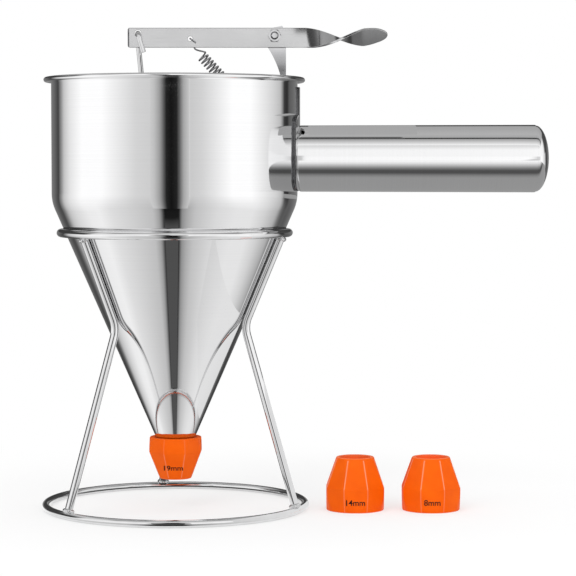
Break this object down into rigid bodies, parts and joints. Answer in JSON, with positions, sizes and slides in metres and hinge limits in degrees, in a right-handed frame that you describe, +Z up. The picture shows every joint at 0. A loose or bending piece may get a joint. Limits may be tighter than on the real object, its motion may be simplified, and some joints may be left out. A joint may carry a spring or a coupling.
{
  "type": "batter dispenser",
  "caption": "Steel hopper with a tube handle and a lever-worked stopper, in a wire ring stand, with an orange nozzle on its outlet and two more beside it.",
  "frame": {"origin": "on the floor, on the axis of the stand and of the hopper", "axes": "+Z up along the hopper's axis, +X along the handle, +Y to the rear; the camera looks along +Y"},
  "size_m": [0.3041, 0.1608, 0.2894],
  "materials": {
    "hopper_steel": "polished",
    "handle_steel": "polished",
    "steel_wire": "bright drawn",
    "lever_steel": "satin",
    "fasteners": "zinc plated",
    "spring_wire": "drawn wire",
    "stopper_rubber": "matt",
    "orange_plastic": "moulded, slightly glossy"
  },
  "bodies": {
    "stand": {"base_ring": "steel_wire", "support_ring": "steel_wire", "leg_rear": "steel_wire", "leg_left": "steel_wire", "leg_right": "steel_wire"},
    "funnel": {"hopper": "hopper_steel", "outlet_neck": "hopper_steel", "handle_plate": "handle_steel", "handle_tube": "handle_steel", "handle_cap": "handle_steel", "lever_bracket": "lever_steel", "pivot_bolt": "fasteners", "pivot_nut": "fasteners", "pivot_washer": "fasteners", "return_spring": "spring_wire"},
    "lever": {"lever": "lever_steel"},
    "plunger": {"plunger_rod": "steel_wire", "stopper": "stopper_rubber", "stopper_washer": "fasteners", "stopper_nut": "fasteners"},
    "fitted_nozzle": {"nozzle_large": "orange_plastic"},
    "spare_medium": {"nozzle_medium": "orange_plastic"},
    "spare_small": {"nozzle_small": "orange_plastic"}
  },
  "joints": [
    {"name": "funnel_lift", "type": "slide", "parent": "stand", "child": "funnel", "axis": [0, 0, 1], "range_m": [0, 0.16]},
    {"name": "lever_press", "type": "hinge", "parent": "funnel", "child": "lever", "pos_m": [0.0598, -0.00275, 0.28329], "axis": [0, 1, 0], "range_deg": [0, 20], "stiffness_Nm_per_rad": 0.2, "springref_deg": -20.05, "deforming": ["return_spring"]},
    {"name": "plunger_hang", "type": "hinge", "parent": "lever", "child": "plunger", "pos_m": [-0.0216, -0.00275, 0.28479], "axis": [0, 1, 0], "range_deg": [-20, 0]},
    {"name": "nozzle_pull", "type": "slide", "parent": "funnel", "child": "fitted_nozzle", "axis": [0, 0, -1], "range_m": [0, 0.017]},
    {"name": "medium_lift", "type": "slide", "parent": "stand", "child": "spare_medium", "axis": [0, 0, 1], "range_m": [0, 0.05]},
    {"name": "small_lift", "type": "slide", "parent": "stand", "child": "spare_small", "axis": [0, 0, 1], "range_m": [0, 0.05]}
  ],
  "couplings": [
    {"joint": "plunger_hang", "follows": "lever_press", "ratio": -1}
  ]
}
